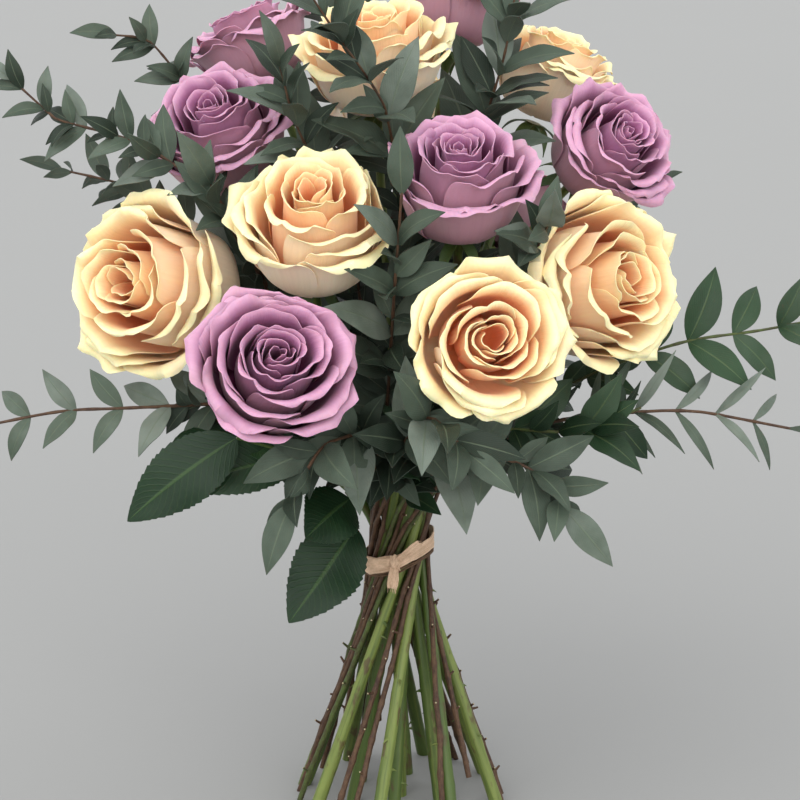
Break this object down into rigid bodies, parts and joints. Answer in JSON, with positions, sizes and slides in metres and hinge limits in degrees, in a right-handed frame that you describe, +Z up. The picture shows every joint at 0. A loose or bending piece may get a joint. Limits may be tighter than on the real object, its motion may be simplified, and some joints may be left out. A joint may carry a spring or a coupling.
{
  "type": "bouquet",
  "caption": "Hand-tied bouquet of open garden roses and leafy branches, standing on its level-cut stem ends.",
  "frame": {"origin": "middle of the central stem's cut end, on the floor under the tie", "axes": "+Z up along the bundle of stems, -Y towards the front of the bouquet, +X to its right as seen from the front"},
  "size_m": [0.5093, 0.3825, 0.513],
  "materials": {
    "petals_peach": "soft petals, cream to warm peach",
    "petals_lavender": "soft petals, dusty mauve pink",
    "rose_stem": "smooth green stem, satin",
    "grey_leaves": "matt grey-green leaves on brown twigs",
    "dark_leaves": "satin dark green leaves",
    "raffia": "matt dry raffia paper"
  },
  "bodies": {
    "root": {"bloom_a": "petals_peach", "bloom_b": "petals_peach", "bloom_c": "petals_lavender", "bloom_d": "petals_lavender", "bloom_e": "petals_peach", "bloom_f": "petals_peach", "bloom_g": "petals_lavender", "bloom_h": "petals_lavender", "bloom_i": "petals_peach", "bloom_j": "petals_peach", "bloom_k": "petals_lavender", "bloom_l": "petals_lavender", "bloom_m": "petals_lavender", "bloom_n": "petals_peach", "bloom_o": "petals_lavender", "stem_a": "rose_stem", "stem_b": "rose_stem", "stem_c": "rose_stem", "stem_d": "rose_stem", "stem_e": "rose_stem", "stem_f": "rose_stem", "stem_g": "rose_stem", "stem_h": "rose_stem", "stem_i": "rose_stem", "stem_j": "rose_stem", "stem_k": "rose_stem", "stem_l": "rose_stem", "stem_m": "rose_stem", "stem_n": "rose_stem", "stem_o": "rose_stem", "tie": "raffia", "branch_left_upper": "grey_leaves", "branch_left_lower": "grey_leaves", "branch_right_lower": "grey_leaves", "branch_right_upper": "dark_leaves", "branch_centre": "grey_leaves", "branch_low_left": "grey_leaves", "branch_low_centre": "grey_leaves", "branch_low_right": "grey_leaves", "branch_right_dark": "dark_leaves", "branch_top_centre": "grey_leaves", "branch_top_right": "grey_leaves", "branch_far_left": "grey_leaves", "branch_gap_left": "grey_leaves", "branch_gap_right": "grey_leaves", "branch_gap_top": "grey_leaves", "branch_back_left": "grey_leaves", "branch_back_right": "grey_leaves", "branch_back_low": "grey_leaves", "branch_back_top": "grey_leaves"}
  },
  "joints": []
}
